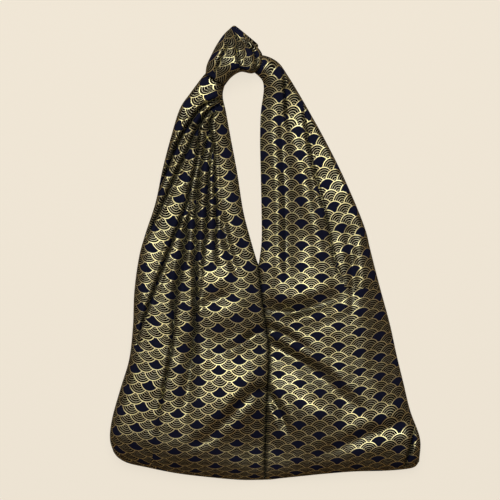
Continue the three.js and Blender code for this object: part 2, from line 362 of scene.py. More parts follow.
@dataclass(frozen=True)
class GatheredGrain:
    """The print of a cloth strip whose folds take up what its outline lacks, in millimetres.

    rows holds places along the panel and the cloth's own length there, and start is the cloth's place at
    the inner end. The strip is width wide at the body and strap_width at the strap, and widens in between.
    The folds share what the outline lacks by their pull, which grows with depth up to full_depth and fades
    past a fold's end, and spread is the pull of the cloth between them. walls is the share of the folds'
    relief that counts in the cloth's run. The lifts are shares of the section's width by which the print's
    rows rise at its two ends. The inner one comes in over mouth_end, less seam_sink. upright is -1 because
    the print is upside down, and strap is where it turns with the strap.
    """

    rows: tuple[tuple[float, float], ...]
    start: float
    width: float
    strap_width: float
    inner_lift: float
    outer_lift: float
    seam_sink: float = 0.2
    spread: float = 0.3
    upright: int = -1
    walls: float = 0.6
    full_depth: float = 6.0
    fades: tuple[float, float] = (2, 9)
    widens: tuple[float, float] = (30, 180)
    mouth_end: tuple[float, float] = (-50, 40)
    strap: tuple[float, float] = (150, 215)

    def gathered(self, chart: Chart, fold: Fold) -> tuple[np.ndarray, np.ndarray]:
        """How much a fold gathers in each section, and which points lie beyond it.

        Args:
            chart: The grid of points, a row for each section.
            fold: The fold, whose path runs down the panel.

        Returns:
            The fold's pull on each section, and how far each point lies beyond the fold.
        """
        distance, depth, side = fold.measure(chart.x, chart.y)
        nearest = np.argmin(distance, axis=1)[:, None]
        depth = np.minimum(np.take_along_axis(depth, nearest, axis=1), self.full_depth)
        off = np.take_along_axis(distance, nearest, axis=1)
        below = np.take_along_axis(chart.y, nearest, axis=1) < fold.path[-1][1]
        pull = fold.hides * depth * np.where(below, 1 - smoothstep(off, *self.fades), 1)
        return pull, -side * distance

    def cloth(
        self, chart: Chart, across: np.ndarray, relief: np.ndarray, folds: tuple[Fold, ...]
    ) -> tuple[np.ndarray, np.ndarray, tuple[Cut, ...]]:
        """Places on the flat cloth.

        Args:
            chart: The grid of points, a row for each section.
            across: Each column's share of the way from the inner end.
            relief: Height of the folds alone at each point.
            folds: The panel's folds.

        Returns:
            The two coordinates on the cloth, in millimetres, and the cuts.
        """
        level = np.hypot(np.diff(chart.x, axis=1), np.diff(chart.y, axis=1))
        run = summed(np.hypot(level, np.diff(chart.z - (1 - self.walls) * relief, axis=1)))
        widened = smoothstep(chart.y[:, -1:], *self.widens)
        short = self.width + (self.strap_width - self.width) * widened - run[:, -1:]
        pulls = [self.gathered(chart, fold) for fold in folds if fold.hides]
        total = sum(pull for pull, _ in pulls) + self.spread
        nothing = np.zeros_like(run)
        cuts = tuple(Cut(nothing + short * pull / total, nothing, beyond) for pull, beyond in pulls)
        u = self.start + run + short * self.spread / total * run / run[:, -1:]
        span = level.sum(axis=1, keepdims=True)
        opened = smoothstep(chart.y, *self.mouth_end) - self.seam_sink
        inner = np.clip(1 - 2 * across, 0, 1) ** 2 * opened
        outer = np.clip(2 * across - 1, 0, 1) ** 2
        v = look_up(self.rows, follow_strap(chart, *self.strap))
        v = v - span * (self.inner_lift * inner + self.outer_lift * outer)
        return u, (FAN_CENTRE + 1) * WAVE_RADIUS - v, cuts


@dataclass(frozen=True)
class CreasedGrain:
    """The print of a panel whose outer part is turned beyond a crease, in millimetres.

    rows holds places along the panel and the cloth's own length there. threads holds, from the base up, a
    place along, where the third wave's middle runs, and the pitch inside and outside it. crease holds
    places along, where the crease runs, where the sixth wave's middle runs beyond it, and the pitch there.
    lean holds places along and what is taken off the rows for each millimetre beyond the crease, and jump
    is taken off at it. Waves are counted from 0. slant is how far the print moves along for each millimetre
    that a fold hides across. From roll_start, a share of the width, the side's rounding counts in the
    cloth's run. strap is where the print turns with the strap.
    """

    rows: tuple[tuple[float, float], ...]
    threads: tuple[tuple[float, float, float, float], ...]
    crease: tuple[tuple[float, float, float, float], ...]
    lean: tuple[tuple[float, float], ...]
    jump: float
    upright: int = 1
    third_wave: int = 2
    sixth_wave: int = 5
    slant: float = 0.5
    roll_start: float = 0.8
    strap: tuple[float, float] = (195, 290)

    def cloth(
        self, chart: Chart, across: np.ndarray, relief: np.ndarray, folds: tuple[Fold, ...]
    ) -> tuple[np.ndarray, np.ndarray, tuple[Cut, ...]]:
        """Places on the flat cloth.

        Args:
            chart: The grid of points, a row for each section.
            across: Each column's share of the way from the inner end.
            relief: Height of the folds alone at each point.
            folds: The panel's folds.

        Returns:
            The two coordinates on the cloth, in millimetres, and the cuts.
        """
        third, inside, outside = (look_up(self.threads, chart.y, column) for column in (1, 2, 3))
        waves = self.third_wave + (chart.x - third) / np.where(chart.x < third, inside, outside)
        line, sixth, pitch = (look_up(self.crease, chart.y, column) for column in (1, 2, 3))
        past = chart.x - line
        flap = Cut(
            (self.sixth_wave + (chart.x - sixth) / pitch - waves) * WAVE_PITCH,
            np.full_like(past, -self.jump),
            np.where(chart.y > self.crease[0][0], past, -1),
        )
        level = np.hypot(np.diff(chart.x, axis=1), np.diff(chart.y, axis=1))
        climb = np.diff(chart.z - relief, axis=1)
        extra = summed(np.where(across[:, 1:] > self.roll_start, np.hypot(level, climb) - level, 0))
        taken = [fold.taken(chart.x, chart.y) for fold in folds if fold.hides]
        cuts = (flap, *(Cut(hidden, hidden * self.slant, beyond) for hidden, beyond in taken))
        v = look_up(self.rows, follow_strap(chart, *self.strap))
        v = v - look_up(self.lean, chart.y) * np.clip(past, 0, None)
        return waves * WAVE_PITCH + extra, v + FAN_CENTRE * WAVE_RADIUS, cuts


def lay_grid(shape: bmesh.types.BMesh, columns: int, rows: int, place: ChartMaker) -> None:
    """Adds a grid to a mesh and lays it where place says.

    A face beyond a cut has the hidden cloth added to its places on the cloth, and the edges between faces
    on different sides of a cut are sharp.

    Args:
        shape: The mesh that is being built.
        columns: Faces across the grid.
        rows: Faces along the grid.
        place: Gives the chart for shares across and shares along.
    """
    made = bmesh.ops.create_grid(shape, x_segments=columns, y_segments=rows, size=1.0)["verts"]
    chart = place(np.linspace(0, 1, columns + 1), np.linspace(0, 1, rows + 1))
    cloth = shape.loops.layers.uv.verify()
    spots = {}
    for vert in made:
        column = round((vert.co.x + 1) / 2 * columns)
        row = round((vert.co.y + 1) / 2 * rows)
        spots[vert] = (row, column)
    for vert, spot in spots.items():
        vert.co = Vector((chart.x[spot], chart.y[spot], chart.z[spot])) * MM
    sides = [cut.beyond[:-1] + cut.beyond[1:] for cut in chart.cuts]
    passed = [side[:, :-1] + side[:, 1:] > 0 for side in sides]
    crossed = {}
    for face in {face for vert in made for face in vert.link_faces}:
        cell = min(spots[vert] for vert in face.verts)
        crossed[face] = [number for number, there in enumerate(passed) if there[cell]]
    for face, numbers in crossed.items():
        for loop in face.loops:
            spot = spots[loop.vert]
            u = chart.u[spot] + sum(chart.cuts[number].u[spot] for number in numbers)
            v = chart.v[spot] + sum(chart.cuts[number].v[spot] for number in numbers)
            loop[cloth].uv = (u * MM, v * MM)
            other = loop.link_loop_radial_next.face
            loop.edge.smooth = loop.edge.smooth and crossed[other] == numbers


class ClothPiece:
    """A piece of the bag's cloth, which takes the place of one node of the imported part."""

    name: str
    node: str

    def sheet(self, shape: bmesh.types.BMesh, finishes: list[bpy.types.Material]) -> bpy.types.Object:
        """Closes the sheet's seams, gives it the cloth's thickness and adds it to the scene.

        Args:
            shape: The sheet, with its parts laid edge to edge. It is freed.
            finishes: The face's and the reverse's materials.

        Returns:
            The new piece.
        """
        bmesh.ops.remove_doubles(shape, verts=shape.verts, dist=MERGE * MM)
        bmesh.ops.recalc_face_normals(shape, faces=shape.faces)
        top = max(shape.faces, key=lambda face: face.calc_center_median().z)
        if top.normal.z < 0:
            bmesh.ops.reverse_faces(shape, faces=shape.faces)
        for face in shape.faces:
            face.smooth = True
        mesh = bpy.data.meshes.new(self.name)
        shape.to_mesh(mesh)
        shape.free()
        mesh.uv_layers[0].name = CLOTH_MAP
        piece = bpy.data.objects.new(self.name, mesh)
        bpy.context.scene.collection.objects.link(piece)
        for finish in finishes:
            mesh.materials.append(finish)
        wall = piece.modifiers.new("cloth", "SOLIDIFY")
        wall.thickness = CLOTH * MM
        wall.offset = 0
        wall.material_offset = 1
        return piece

    def dress(self, piece: bpy.types.Object) -> None:
        """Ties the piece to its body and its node.

        Args:
            piece: The piece, with its materials.
        """
        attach(piece, BODY)
        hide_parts(self.node)
        log.info("%s: %d faces", self.name, len(piece.data.polygons))


@dataclass
class Panel(ClothPiece):
    """One long panel of the bag, folded at its side: the front, the back and the turned-in edges.

    Sizes are in millimetres, but flat and flat_area are in metres, and these two are not used. base is the
    line of the base from the seam out, and shows over base_reach sections. lips holds section numbers with
    the radius and the drop of the inner edge's rounding. The seam ends at the section mouth. base_roll is
    how far the rounding at the base reaches, rise the share of the width over which the front climbs from
    the seam, lowest_front the front's least height, fold_height the folded side's height, and under_roll
    its rounding on the back. The back's seam lies seam_aside off the front's, fading over aside_reach
    across and between the two places of aside_end, in sections from the mouth. The turned-in edge fills at
    most turn_room of the room inside and slants by turn_slant. crowding and base_crowding draw columns and
    rows to the edges, and up to wall_reach from the base the print is no shorter than the wall.
    """

    name: str
    node: str
    side: Side
    sections: tuple[Section, ...]
    base: tuple[tuple[float, float], ...]
    folds: tuple[Fold, ...]
    swells: tuple[Swell, ...]
    lips: tuple[tuple[float, float, float], ...]
    grain: GatheredGrain | CreasedGrain
    flat: tuple[float, float]
    flat_area: float
    columns: int = 96
    rows: int = 220
    turn_columns: int = 4
    mouth: int = 7
    base_reach: float = 4.0
    base_roll: float = 44.0
    rise: float = 0.35
    fold_height: float = 4.0
    under_roll: float = 5.0
    lowest_front: float = 5.0
    crowding: float = 0.35
    base_crowding: float = 1.15
    seam_aside: float = 4.0
    aside_reach: float = 30.0
    aside_end: tuple[float, float] = (-0.5, 0.3)
    turn_room: float = 0.42
    turn_slant: float = 0.15
    wall_reach: float = 12.0

    def __post_init__(self) -> None:
        """Turns the tables into arrays."""
        self.table = np.array(self.sections, float)
        self.last = len(self.table) - 1
        edge = np.array(self.base, float)
        self.base_line = smooth_rows(edge, np.linspace(0, len(edge) - 1, BASE_POINTS))
        run = run_along(*self.base_line.T)
        self.base_run = run / run[-1]

    def inner(self, section: np.ndarray) -> np.ndarray:
        """The inner end of each section, which bends sharply at the mouth's lower end.

        Args:
            section: Places along, counted in sections.

        Returns:
            The end's place and height, in the last axis.
        """
        ends = self.table[:, :INNER_FIELDS]
        seam = smooth_rows(ends[: self.mouth + 1], np.clip(section, 0, self.mouth))
        above = smooth_rows(ends[self.mouth :], np.clip(section - self.mouth, 0, None))
        end = np.where((section <= self.mouth)[..., None], seam, above)
        end[..., 0] += self.side.value * (HALF_CLOTH + SEAM_GAP / 2)
        return end

    def outer(self, section: np.ndarray) -> np.ndarray:
        """The outer end of each section: its place, crown, roll and turn, in the last axis."""
        return smooth_rows(self.table[:, INNER_FIELDS:], section)

    def plan(self, across: np.ndarray, section: np.ndarray) -> tuple[np.ndarray, np.ndarray]:
        """Places seen from above.

        Args:
            across: Shares of the way from the inner end.
            section: Places along, counted in sections.

        Returns:
            The places across and along, in millimetres.
        """
        inner, outer = self.inner(section), self.outer(section)
        share = 1 - smoothstep(section, 0, self.base_reach)
        places = []
        for axis in (0, 1):
            line = self.base_line[:, axis]
            sag = np.interp(across, self.base_run, line) - (line[0] + across * (line[-1] - line[0]))
            places.append(inner[..., axis] + across * (outer[..., axis] - inner[..., axis]) + sag * share)
        return places[0], places[1]

    def edge_distances(
        self, across: np.ndarray, section: np.ndarray
    ) -> tuple[np.ndarray, np.ndarray, np.ndarray]:
        """How far each place lies from the panel's edges.

        Args:
            across: Shares of the way from the inner end.
            section: Places along, counted in sections.

        Returns:
            The distances from the inner end, the folded side and the base, in millimetres.
        """
        inner, outer = self.inner(section), self.outer(section)
        width = np.hypot(outer[..., 0] - inner[..., 0], outer[..., 1] - inner[..., 1])
        x, y = self.plan(across, section)
        foot_x, foot_y = self.plan(across, np.zeros_like(section))
        return across * width, (1 - across) * width, np.hypot(x - foot_x, y - foot_y)

    def relief(self, across: np.ndarray, section: np.ndarray) -> np.ndarray:
        """Height that the folds, swells and cockles add to the front."""
        x, y = self.plan(across, section)
        return sum(form.relief(x, y) for form in (*self.folds, *self.swells, Cockle()))

    def front_height(self, across: np.ndarray, section: np.ndarray) -> np.ndarray:
        """Height of the front: low at the seam, crowned, folded, and rolled over at the side and base.

        Args:
            across: Shares of the way from the inner end.
            section: Places along, counted in sections.

        Returns:
            The height of the cloth's middle, in millimetres.
        """
        from_inner, from_side, from_base = self.edge_distances(across, section)
        _, _, crown, roll, _ = np.moveaxis(self.outer(section), -1, 0)
        edge = self.inner(section)[..., 2]
        fall = 1 - np.clip(across / self.rise, 0, 1)
        height = crown - (crown - edge) * fall**2 + self.relief(across, section)
        radius, drop = (look_up(self.lips, section, column) for column in (1, 2))
        height = height - drop * (1 - quarter_round(from_inner, radius))
        height = np.maximum(height, self.lowest_front)
        rolled = quarter_round(from_side, roll) * quarter_round(from_base, self.base_roll)
        return self.fold_height + (height - self.fold_height) * rolled

    def back_height(self, across: np.ndarray, section: np.ndarray) -> np.ndarray:
        """Height of the back, which lies flat inside the folded side and base.

        Args:
            across: Shares of the way from the inner end.
            section: Places along, counted in sections.

        Returns:
            The height of the cloth's middle, in millimetres.
        """
        _, from_side, from_base = self.edge_distances(across, section)
        rolled = quarter_round(from_side, self.under_roll) * quarter_round(from_base, self.under_roll)
        return self.fold_height - (self.fold_height - HALF_CLOTH) * rolled

    def section_at(self, along: np.ndarray) -> np.ndarray:
        """Sections for even steps along the panel, closer together at the base.

        Args:
            along: Shares of the panel's length, from the base.

        Returns:
            Places along, counted in sections.
        """
        fine = np.linspace(0, self.last, RUN_POINTS)
        run = run_along(*self.plan(np.full_like(fine, 0.5), fine))
        return np.interp(run[-1] * along**self.base_crowding, run, fine)

    def across_at(self, share: np.ndarray) -> np.ndarray:
        """Columns that crowd towards both edges."""
        return share - self.crowding * np.sin(2 * math.pi * share) / (2 * math.pi)

    def front_chart(self, shares: np.ndarray, along: np.ndarray) -> Chart:
        """The chart of the front.

        Args:
            shares: Shares of the columns.
            along: Shares of the panel's length, from the base.

        Returns:
            The chart, with the folds' cuts.
        """
        across, section = np.meshgrid(self.across_at(shares), self.section_at(along))
        x, y = self.plan(across, section)
        z = self.front_height(across, section)
        flat = Chart(x, y, z, x, y)
        u, v, cuts = self.grain.cloth(flat, across, self.relief(across, section), self.folds)
        return Chart(x, y, z, u, self.wrap_base(Chart(x, y, z, u, v), across, section), cuts)

    def wrap_base(self, chart: Chart, across: np.ndarray, section: np.ndarray) -> np.ndarray:
        """The cloth's length along the panel, no shorter on the base's wall than the wall itself.

        Args:
            chart: The front, with its print as seen from above.
            across: Shares of the way from the inner end.
            section: Places along, counted in sections.

        Returns:
            The second coordinate on the cloth, in millimetres.
        """
        _, _, from_base = self.edge_distances(across, section)
        steps = np.diff(chart.v, axis=0)
        wall = np.sqrt(sum(np.diff(part, axis=0) ** 2 for part in (chart.x, chart.y, chart.z)))
        longer = np.sign(steps) * np.maximum(np.abs(steps), wall)
        steps = np.where(from_base[1:] < self.wall_reach, longer, steps)
        below = np.cumsum(steps[::-1], axis=0)[::-1]
        return chart.v[-1:] - np.concatenate([below, np.zeros((1, below.shape[1]))], axis=0)

    def back_chart(self, shares: np.ndarray, along: np.ndarray) -> Chart:
        """The chart of the back, whose print runs on from the folded side and whose seam lies aside.

        Args:
            shares: Shares of the columns.
            along: Shares of the panel's length, from the base.

        Returns:
            The chart, which has no cuts.
        """
        front = self.front_chart(shares, along)
        across, section = np.meshgrid(self.across_at(shares), self.section_at(along))
        from_inner, from_side, _ = self.edge_distances(across, section)
        start, end = (self.mouth + place for place in self.aside_end)
        aside = self.seam_aside * (1 - smoothstep(section, start, end))
        x = front.x + aside * (1 - smoothstep(from_inner, 0, self.aside_reach))
        side_u, side_v = (part[:, -1:] for part in front.laid())
        v = side_v + self.grain.upright * (front.y - front.y[:, -1:])
        return Chart(x, front.y, self.back_height(across, section), side_u + from_side, v)

    def turned_chart(self, sheet: ChartMaker, upward: int) -> ChartMaker:
        """The chart maker of the strip that is turned into the bag along the inner edge of a sheet.

        Args:
            sheet: The chart maker of the front or the back.
            upward: 1 where the strip goes up, and -1 where it goes down.

        Returns:
            A chart maker for the strip.
        """

        def place(shares: np.ndarray, along: np.ndarray) -> Chart:
            """The chart of the strip.

            Args:
                shares: Shares of the strip's depth.
                along: Shares of the panel's length, from the base.

            Returns:
                The chart, which starts on the sheet's inner edge.
            """
            edge = sheet(np.array([0.0, 1.0]), along)
            edge_u, edge_v = (part[:, :1] for part in edge.laid())
            section = self.section_at(along)
            room = self.front_height(np.zeros_like(section), section) - HALF_CLOTH
            turn = self.outer(section)[:, -1]
            deep = np.minimum(turn, self.turn_room * room)[:, None] * shares[None, :]
            return Chart(
                edge.x[:, :1] + self.side.value * self.turn_slant * deep,
                edge.y[:, :1] + 0 * deep,
                edge.z[:, :1] + upward * deep,
                edge_u - deep,
                edge_v + 0 * deep,
            )

        return place

    def build(self, finishes: list[bpy.types.Material]) -> bpy.types.Object:
        """Builds and dresses the panel.

        Args:
            finishes: The face's and the reverse's materials.

        Returns:
            The panel's piece.
        """
        shape = bmesh.new()
        lay_grid(shape, self.columns, self.rows, self.front_chart)
        lay_grid(shape, self.columns, self.rows, self.back_chart)
        lay_grid(shape, self.turn_columns, self.rows, self.turned_chart(self.front_chart, -1))
        lay_grid(shape, self.turn_columns, self.rows, self.turned_chart(self.back_chart, 1))
        piece = self.sheet(shape, finishes)
        self.dress(piece)
        return piece


class WrapSection(NamedTuple):
    """One section of the knot's wrap, in millimetres."""

    left_x: float
    left_y: float
    right_x: float
    right_y: float
    height: float


@dataclass
class Knot(ClothPiece):
    """The knot: one strap's end wound round the other, with a hollow at its loose end.

    Sizes are in millimetres, but flat is in metres, and it is not used. A section is a rounded box:
    squareness is the power of its outline, flatness its height in widths where its girth is measured, and
    axis_height its middle's share of its height. Up to the share wrap_end of its length the cloth lies
    outside. It curls over a rim of radius lip up to curl_end, and then runs tuck deep inside and draws in
    by closing. pleat_rise is how fast the pleats come in above the axis, and slant how far the print moves
    along the wrap for each millimetre that a pleat hides round it.
    """

    sections: tuple[WrapSection, ...]
    pleats: tuple[Fold, ...]
    flat: tuple[float, float]
    name: str = "knot_wrap"
    node: str = "knot"
    columns: int = 120
    rows: int = 90
    squareness: float = 0.62
    flatness: float = 0.8
    axis_height: float = 0.42
    wrap_end: float = 0.74
    curl_end: float = 0.84
    lip: float = 3.0
    tuck: float = 9.0
    closing: float = 22.0
    pleat_rise: float = 2.0
    slant: float = 0.5

    def ring(self, along: np.ndarray) -> tuple[np.ndarray, np.ndarray, np.ndarray]:
        """The wrap's place, inset and shift along its axis for shares of its cloth's length.

        Args:
            along: Shares from the left strap's end to the inside of the loose end.

        Returns:
            The section number, how far the section is drawn in, and the shift along the axis.
        """
        last = len(self.sections) - 1
        section = np.clip(along / self.wrap_end, 0, 1) * last
        curl = np.clip((along - self.wrap_end) / (self.curl_end - self.wrap_end), 0, 1) * math.pi
        inside = np.clip((along - self.curl_end) / (1 - self.curl_end), 0, 1)
        inset = self.lip * (1 - np.cos(curl)) + self.closing * inside**2
        shift = self.lip * np.sin(curl) - self.tuck * inside
        return section, inset, shift

    def even_turns(self, around: np.ndarray) -> np.ndarray:
        """Angles that step evenly round a section.

        Args:
            around: Shares of the girth, from underneath round the left end.

        Returns:
            The angle of each, which goes round backwards.
        """
        turns = math.pi * np.linspace(1.5, -0.5, TURN_POINTS)
        wide = signed_power(np.cos(turns), self.squareness)
        high = signed_power(np.sin(turns), self.squareness) * self.flatness
        run = run_along(wide, high)
        return np.interp(around, run / run[-1], turns)

    def chart(self, shares: np.ndarray, along: np.ndarray) -> Chart:
        """The chart of the wrap, from underneath round its left end, over the top and back.

        Args:
            shares: Shares of the girth.
            along: Shares of the cloth's length.

        Returns:
            The chart, with the pleats' cuts.
        """
        around, length = np.meshgrid(shares, along)
        section, inset, shift = self.ring(length)
        row = smooth_rows(np.array(self.sections, float), section)
        left_x, left_y, right_x, right_y, height = np.moveaxis(row, -1, 0)
        width = np.hypot(right_x - left_x, right_y - left_y)
        side_x, side_y = (right_x - left_x) / width, (right_y - left_y) / width
        angle = self.even_turns(around)
        sideways = signed_power(np.cos(angle), self.squareness)
        upward = signed_power(np.sin(angle), self.squareness)
        half_width = np.maximum(width / 2 - HALF_CLOTH - inset, 0)
        half_height = np.maximum(height * (1 - self.axis_height) - HALF_CLOTH - inset, 0)
        x = (left_x + right_x) / 2 - side_y * shift + side_x * sideways * half_width
        y = (left_y + right_y) / 2 + side_x * shift + side_y * sideways * half_width
        shown = np.clip(self.pleat_rise * upward, 0, 1) * np.clip(1 - inset / (2 * self.lip), 0, 1)
        relief = sum(pleat.relief(x, y) for pleat in self.pleats) * shown
        taken = [pleat.taken(x, y) for pleat in self.pleats if pleat.hides]
        above = [(hidden, np.where(upward > 0, beyond, -1)) for hidden, beyond in taken]
        cuts = tuple(Cut(hidden * self.slant, hidden, beyond) for hidden, beyond in above)
        level = height * self.axis_height + upward * half_height
        top = len(shares) // 2
        run = np.cumsum(path_steps(x, y, level, 0), axis=0)[:, top : top + 1]
        girth = np.cumsum(path_steps(x, y, level, 1), axis=1)
        girth = girth - girth[:, top : top + 1]
        return Chart(x, y, np.maximum(level + relief, HALF_CLOTH), run + 0 * girth, girth, cuts)

    def build(self, finishes: list[bpy.types.Material]) -> bpy.types.Object:
        """Builds and dresses the knot.

        Args:
            finishes: The face's and the reverse's materials.

        Returns:
            The knot's piece.
        """
        shape = bmesh.new()
        lay_grid(shape, self.columns, self.rows, self.chart)
        piece = self.sheet(shape, finishes)
        self.dress(piece)
        return piece


class Value:
    """A number that changes over a surface: a socket that takes part in arithmetic."""

    def __init__(self, sketch: "Sketch", socket: bpy.types.NodeSocket) -> None:
        """Keeps the socket and the material that it belongs to."""
        self.sketch = sketch
        self.socket = socket

    def math(self, operation: str, *others: "Value | float") -> "Value":
        """The result of a Math node on this value and others."""
        inputs = {number: value for number, value in enumerate((self, *others))}
        return self.sketch.node("ShaderNodeMath", {"operation": operation}, inputs).value(0)

    def __add__(self, other: "Value | float") -> "Value":
        """This value plus another."""
        return self.math("ADD", other)

    def __radd__(self, other: float) -> "Value":
        """A number plus this value."""
        return self.math("ADD", other)

    def __sub__(self, other: "Value | float") -> "Value":
        """This value less another."""
        return self.math("SUBTRACT", other)

    def __rsub__(self, other: float) -> "Value":
        """A number less this value."""
        return self.math("MULTIPLY_ADD", -1.0, other)

    def __mul__(self, other: "Value | float") -> "Value":
        """This value times another."""
        return self.math("MULTIPLY", other)

    def __rmul__(self, other: float) -> "Value":
        """A number times this value."""
        return self.math("MULTIPLY", other)

    def __truediv__(self, other: "Value | float") -> "Value":
        """This value over another."""
        return self.math("DIVIDE", other)

    def __lt__(self, other: "Value | float") -> "Value":
        """1 where this value is under another."""
        return self.math("LESS_THAN", other)

    def __abs__(self) -> "Value":
        """This value without its sign."""
        return self.math("ABSOLUTE")

    def root(self) -> "Value":
        """The square root, or 0 below zero."""
        return self.math("MAXIMUM", 0.0).math("SQRT")

    def above(self, edge: float, softness: float) -> "Value":
        """A soft step from 0 under the edge to 1 over it.

        Args:
            edge: The middle of the step.
            softness: Half of its width.

        Returns:
            The step.
        """
        settings = {"interpolation_type": "SMOOTHSTEP"}
        inputs = {"Value": self, "From Min": edge - softness, "From Max": edge + softness}
        return self.sketch.node("ShaderNodeMapRange", settings, inputs).value("Result")

    def pick(self, yes: "Value | float", no: "Value | float") -> "Value":
        """One value where this is 1 and another where it is 0."""
        return self * yes + (1 - self) * no


class Made:
    """A node that was added, whose outputs are read by name or number."""

    def __init__(self, sketch: "Sketch", node: bpy.types.Node) -> None:
        """Keeps the node."""
        self.sketch = sketch
        self.node = node

    def value(self, output: str | int) -> Value:
        """One of the node's outputs."""
        return Value(self.sketch, self.node.outputs[output])


class Sketch:
    """A material's nodes. The colour sockets of a Mix node are known by number."""

    mix_low = 6
    mix_high = 7
    mix_result = 2

    def __init__(self, material: bpy.types.Material) -> None:
        """Starts from an empty node tree.

        Args:
            material: The material whose nodes are made.
        """
        material.use_nodes = True
        self.tree = material.node_tree
        self.tree.nodes.clear()

    def node(self, kind: str, settings: dict | None = None, inputs: dict | None = None) -> Made:
        """Adds a node.

        Args:
            kind: The node's type.
            settings: Its own settings, set first.
            inputs: Values or links for its sockets, by name or number.

        Returns:
            The node.
        """
        node = self.tree.nodes.new(kind)
        for name, setting in (settings or {}).items():
            setattr(node, name, setting)
        for name, value in (inputs or {}).items():
            if isinstance(value, Value):
                self.tree.links.new(value.socket, node.inputs[name])
            else:
                node.inputs[name].default_value = value
        return Made(self, node)

    def blend(self, share: Value, low: "Value | tuple", high: "Value | tuple") -> Value:
        """A colour between two others."""
        inputs = {"Factor": share, self.mix_low: low, self.mix_high: high}
        return self.node("ShaderNodeMix", {"data_type": "RGBA"}, inputs).value(self.mix_result)

    def noise(self, place: Value, scale: float, detail: float) -> Value:
        """Soft noise, from 0 to 1."""
        inputs = {"Vector": place, "Scale": scale, "Detail": detail}
        return self.node("ShaderNodeTexNoise", {}, inputs).value(0)

    def cloth(self) -> tuple[Value, Made]:
        """The place on the flat cloth, in metres, whole and in parts."""
        place = self.node("ShaderNodeUVMap", {"uv_map": CLOTH_MAP}).value("UV")
        return place, self.node("ShaderNodeSeparateXYZ", {}, {"Vector": place})

    def weave(self, parts: Made, thread: float) -> Value:
        """The raised threads of a plain weave.

        Args:
            parts: The place on the cloth, in parts.
            thread: The threads' pitch, in metres.

        Returns:
            The height, from 0 to 1.
        """
        across = (parts.value("X") * (2 * math.pi / thread)).math("SINE")
        along = (parts.value("Y") * (2 * math.pi / thread)).math("SINE")
        return across * along * 0.5 + 0.5

    def raised(self, height: Value, strength: float, depth: float) -> Value:
        """The normal of a face with a height on it, in metres for a height of 1."""
        inputs = {"Strength": strength, "Distance": depth, "Height": height}
        return self.node("ShaderNodeBump", {}, inputs).value(0)

    def finish(self, inputs: dict) -> None:
        """Makes the surface's shader from its inputs."""
        shader = self.node("ShaderNodeBsdfPrincipled", {}, inputs)
        self.node("ShaderNodeOutputMaterial", {}, {"Surface": shader.value(0)})


@dataclass(frozen=True)
class WavePrint:
    """Navy cotton printed with overlapping waves in gold foil.

    The rim and the rings are in shares of the wave's radius. bare is the cloth left bare inside the rim and
    at the wave's middle. Noise wears the foil, finely and in patches.
    """

    radius: float = WAVE_RADIUS * MM
    rim: float = 0.925
    bare: float = 0.08
    first_ring: float = 0.76
    ring_step: float = 0.2
    ring_half: float = 0.013
    softness: float = 0.010
    thread: float = 0.0006
    weave_height: float = 0.6
    foil_height: float = 0.4
    relief: float = 0.00012
    relief_strength: float = 0.25
    wear_scale: float = 900.0
    wear_detail: float = 3.0
    patch_scale: float = 45.0
    patch_detail: float = 2.0
    patch_share: float = 0.5
    wear_edge: float = 0.5
    wear_softness: float = 0.25
    shine: float = 0.92
    foil_roughness: float = 0.40
    worn_roughness: float = 0.12
    cotton_roughness: float = 0.85
    specular: float = 0.08
    navy: tuple = (0.0042, 0.0056, 0.0185, 1)
    dark: tuple = (0.0042, 0.0036, 0.0026, 1)
    gold: tuple = (0.78, 0.75, 0.42, 1)
    worn_gold: tuple = (0.58, 0.51, 0.24, 1)
    pale_gold: tuple = (0.78, 0.77, 0.57, 1)

    def waves(self, parts: Made) -> tuple[Value, Value, Value]:
        """The waves in even and odd columns, of which the lower one covers the other.

        Args:
            parts: The place on the cloth, in parts.

        Returns:
            The share of rim, of plain fan, and of foil of any kind.
        """
        x, y = parts.value("X") / self.radius, parts.value("Y") / self.radius
        column = (x / 2 + 0.5).math("FLOOR")
        even_off = abs(x - 2 * column)
        odd_off = 1 - even_off
        even_row = (y - (1 - even_off * even_off).root()).math("CEIL")
        odd_row = (y - 0.5 - (1 - odd_off * odd_off).root()).math("CEIL") + 0.5
        even = even_row < odd_row
        off = even.pick(even_off, odd_off)
        rise = y - even.pick(even_row, odd_row)
        reach = (off * off + rise * rise).root()
        plain = even * ((even_row + column).math("FLOORED_MODULO", 2.0))
        rim = reach.above(self.rim, self.softness)
        turn = ((reach - self.first_ring) / self.ring_step + 0.5).math("FLOORED_MODULO", 1.0)
        ring = 1 - (abs(turn - 0.5) * self.ring_step).above(self.ring_half, self.softness)
        under_rim = 1 - reach.above(self.rim - self.bare, self.softness)
        inside = under_rim * reach.above(self.bare, self.softness)
        return rim, plain, rim.math("MAXIMUM", ring * inside * (1 - plain))

    def material(self) -> bpy.types.Material:
        """The printed face of the cotton.

        Returns:
            The material.
        """
        made = bpy.data.materials.new("wave_print")
        sketch = Sketch(made)
        cloth, parts = sketch.cloth()
        rim, plain, foil = self.waves(parts)
        wear = sketch.noise(cloth, self.wear_scale, self.wear_detail)
        patch = sketch.noise(cloth, self.patch_scale, self.patch_detail)
        kept = wear * (1 - self.patch_share) + patch * self.patch_share
        fresh = sketch.blend(rim, self.pale_gold, self.gold)
        gold = sketch.blend(kept.above(self.wear_edge, self.wear_softness), self.worn_gold, fresh)
        ground = sketch.blend(plain, self.dark, self.navy)
        height = sketch.weave(parts, self.thread) * self.weave_height + foil * self.foil_height
        inputs = {
            "Base Color": sketch.blend(foil, ground, gold),
            "Metallic": foil * self.shine,
            "Roughness": foil.pick(self.foil_roughness + self.worn_roughness * wear, self.cotton_roughness),
            "Specular IOR Level": self.specular,
            "Normal": sketch.raised(height, self.relief_strength, self.relief),
        }
        sketch.finish(inputs)
        return made


